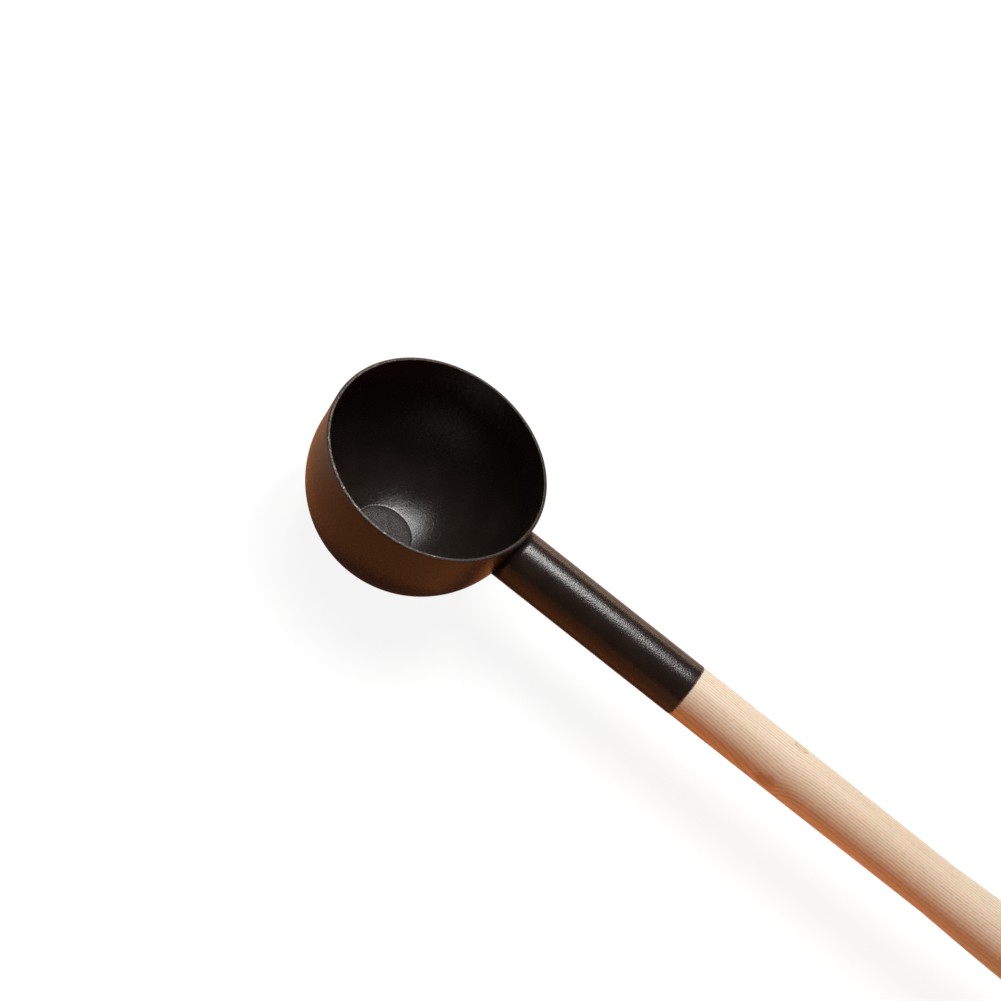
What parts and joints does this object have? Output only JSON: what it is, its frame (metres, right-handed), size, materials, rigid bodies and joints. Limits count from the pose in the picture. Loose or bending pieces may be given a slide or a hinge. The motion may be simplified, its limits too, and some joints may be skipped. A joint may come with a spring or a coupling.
{
  "type": "sauna ladle",
  "caption": "Sauna water ladle: deep round metal cup with a flat base, a socket tube welded to its side and a turned softwood handle in line with it.",
  "frame": {"origin": "middle of the cup's flat base, on its underside", "axes": "+Z is the cup's turning axis, towards its open mouth; +X runs along the handle, away from the cup; the ladle is symmetric about the XZ plane"},
  "size_m": [0.4293, 0.1, 0.0675],
  "materials": {
    "black_coat": "fine-textured satin black powder coat over sheet steel",
    "softwood": "sanded pale softwood, unfinished, straight grain",
    "screw_steel": "plain stainless screw"
  },
  "bodies": {
    "root": {"cup": "black_coat", "socket_tube": "black_coat", "handle": "softwood", "retaining_screw": "screw_steel"}
  },
  "joints": []
}
